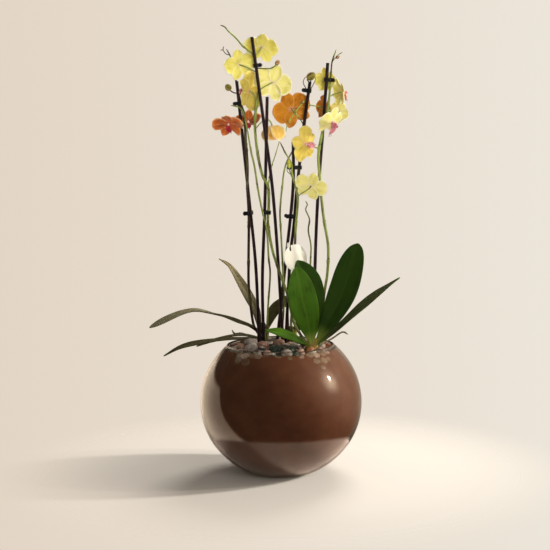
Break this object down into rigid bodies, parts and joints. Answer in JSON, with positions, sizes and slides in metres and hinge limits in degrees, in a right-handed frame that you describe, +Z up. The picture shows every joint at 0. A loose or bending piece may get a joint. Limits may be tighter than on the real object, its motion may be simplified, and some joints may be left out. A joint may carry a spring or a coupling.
{
  "type": "potted orchid",
  "caption": "Moth orchids in flower, planted together in a clear glass globe of potting soil topped with pebbles, with their flower spikes clipped to stakes.",
  "frame": {"origin": "centre of the bowl's flat base, on the surface it stands on", "axes": "+Z up along the bowl's axis, -Y to the front, from where the two bright upright leaves face the viewer, +X to the viewer's right"},
  "size_m": [0.3837, 0.2498, 0.6838],
  "materials": {
    "clear_glass": "clear blown glass, gloss",
    "potting_soil": "fine brown bark compost, matt",
    "pebbles": "tumbled river pebbles, satin",
    "stake_purple_brown": "stained bamboo, satin",
    "spike_green": "fleshy green stem, satin",
    "spike_dark": "fleshy purple-brown stem, satin",
    "leaf_green": "waxy green leaf, semi-gloss",
    "leaf_olive": "dark olive leaf, satin",
    "petal_yellow": "soft yellow petal, satin",
    "petal_orange": "soft orange petal, satin",
    "clip_black": "moulded plastic, satin",
    "tag_card": "coated card, matt",
    "root_grey": "dry aerial root, matt"
  },
  "bodies": {
    "root": {"clip_1": "clip_black", "clip_2": "clip_black", "clip_3": "clip_black", "clip_4": "clip_black", "clip_5": "clip_black", "clip_6": "clip_black", "clip_7": "clip_black", "clip_8": "clip_black", "clip_9": "clip_black", "crown_left": "leaf_olive", "crown_middle": "leaf_olive", "crown_right": "leaf_olive", "flower_01": "petal_yellow", "flower_02": "petal_yellow", "flower_03": "petal_yellow", "flower_04": "petal_yellow", "flower_05": "petal_orange", "flower_06": "petal_orange", "flower_07": "petal_yellow", "flower_08": "petal_orange", "flower_09": "petal_orange", "flower_10": "petal_yellow", "flower_11": "petal_yellow", "flower_12": "petal_yellow", "flower_13": "petal_yellow", "flower_14": "petal_yellow", "flower_15": "petal_yellow", "glass_bowl": "clear_glass", "leaf_left_back": "leaf_olive", "leaf_left_long": "leaf_olive", "leaf_left_low": "leaf_olive", "leaf_left_under": "leaf_olive", "leaf_left_upper": "leaf_olive", "leaf_middle": "leaf_olive", "leaf_right_broad": "leaf_green", "leaf_right_front": "leaf_green", "leaf_right_long": "leaf_green", "leaf_right_low": "leaf_green", "leaf_right_rear": "leaf_green", "pebble_bed": "pebbles", "plant_tag": "tag_card", "potting_soil": "potting_soil", "root_left": "root_grey", "root_right": "root_grey", "spike_arching": "spike_green", "spike_bare": "spike_green", "spike_crossing": "spike_green", "spike_leaning": "spike_dark", "spike_left": "spike_dark", "spike_right": "spike_green", "spike_thin": "spike_green", "spike_upright": "spike_green", "stake_centre": "stake_purple_brown", "stake_front": "stake_purple_brown", "stake_leaning": "stake_purple_brown", "stake_left": "stake_purple_brown", "stake_right": "stake_purple_brown", "stake_short": "stake_purple_brown"}
  },
  "joints": []
}
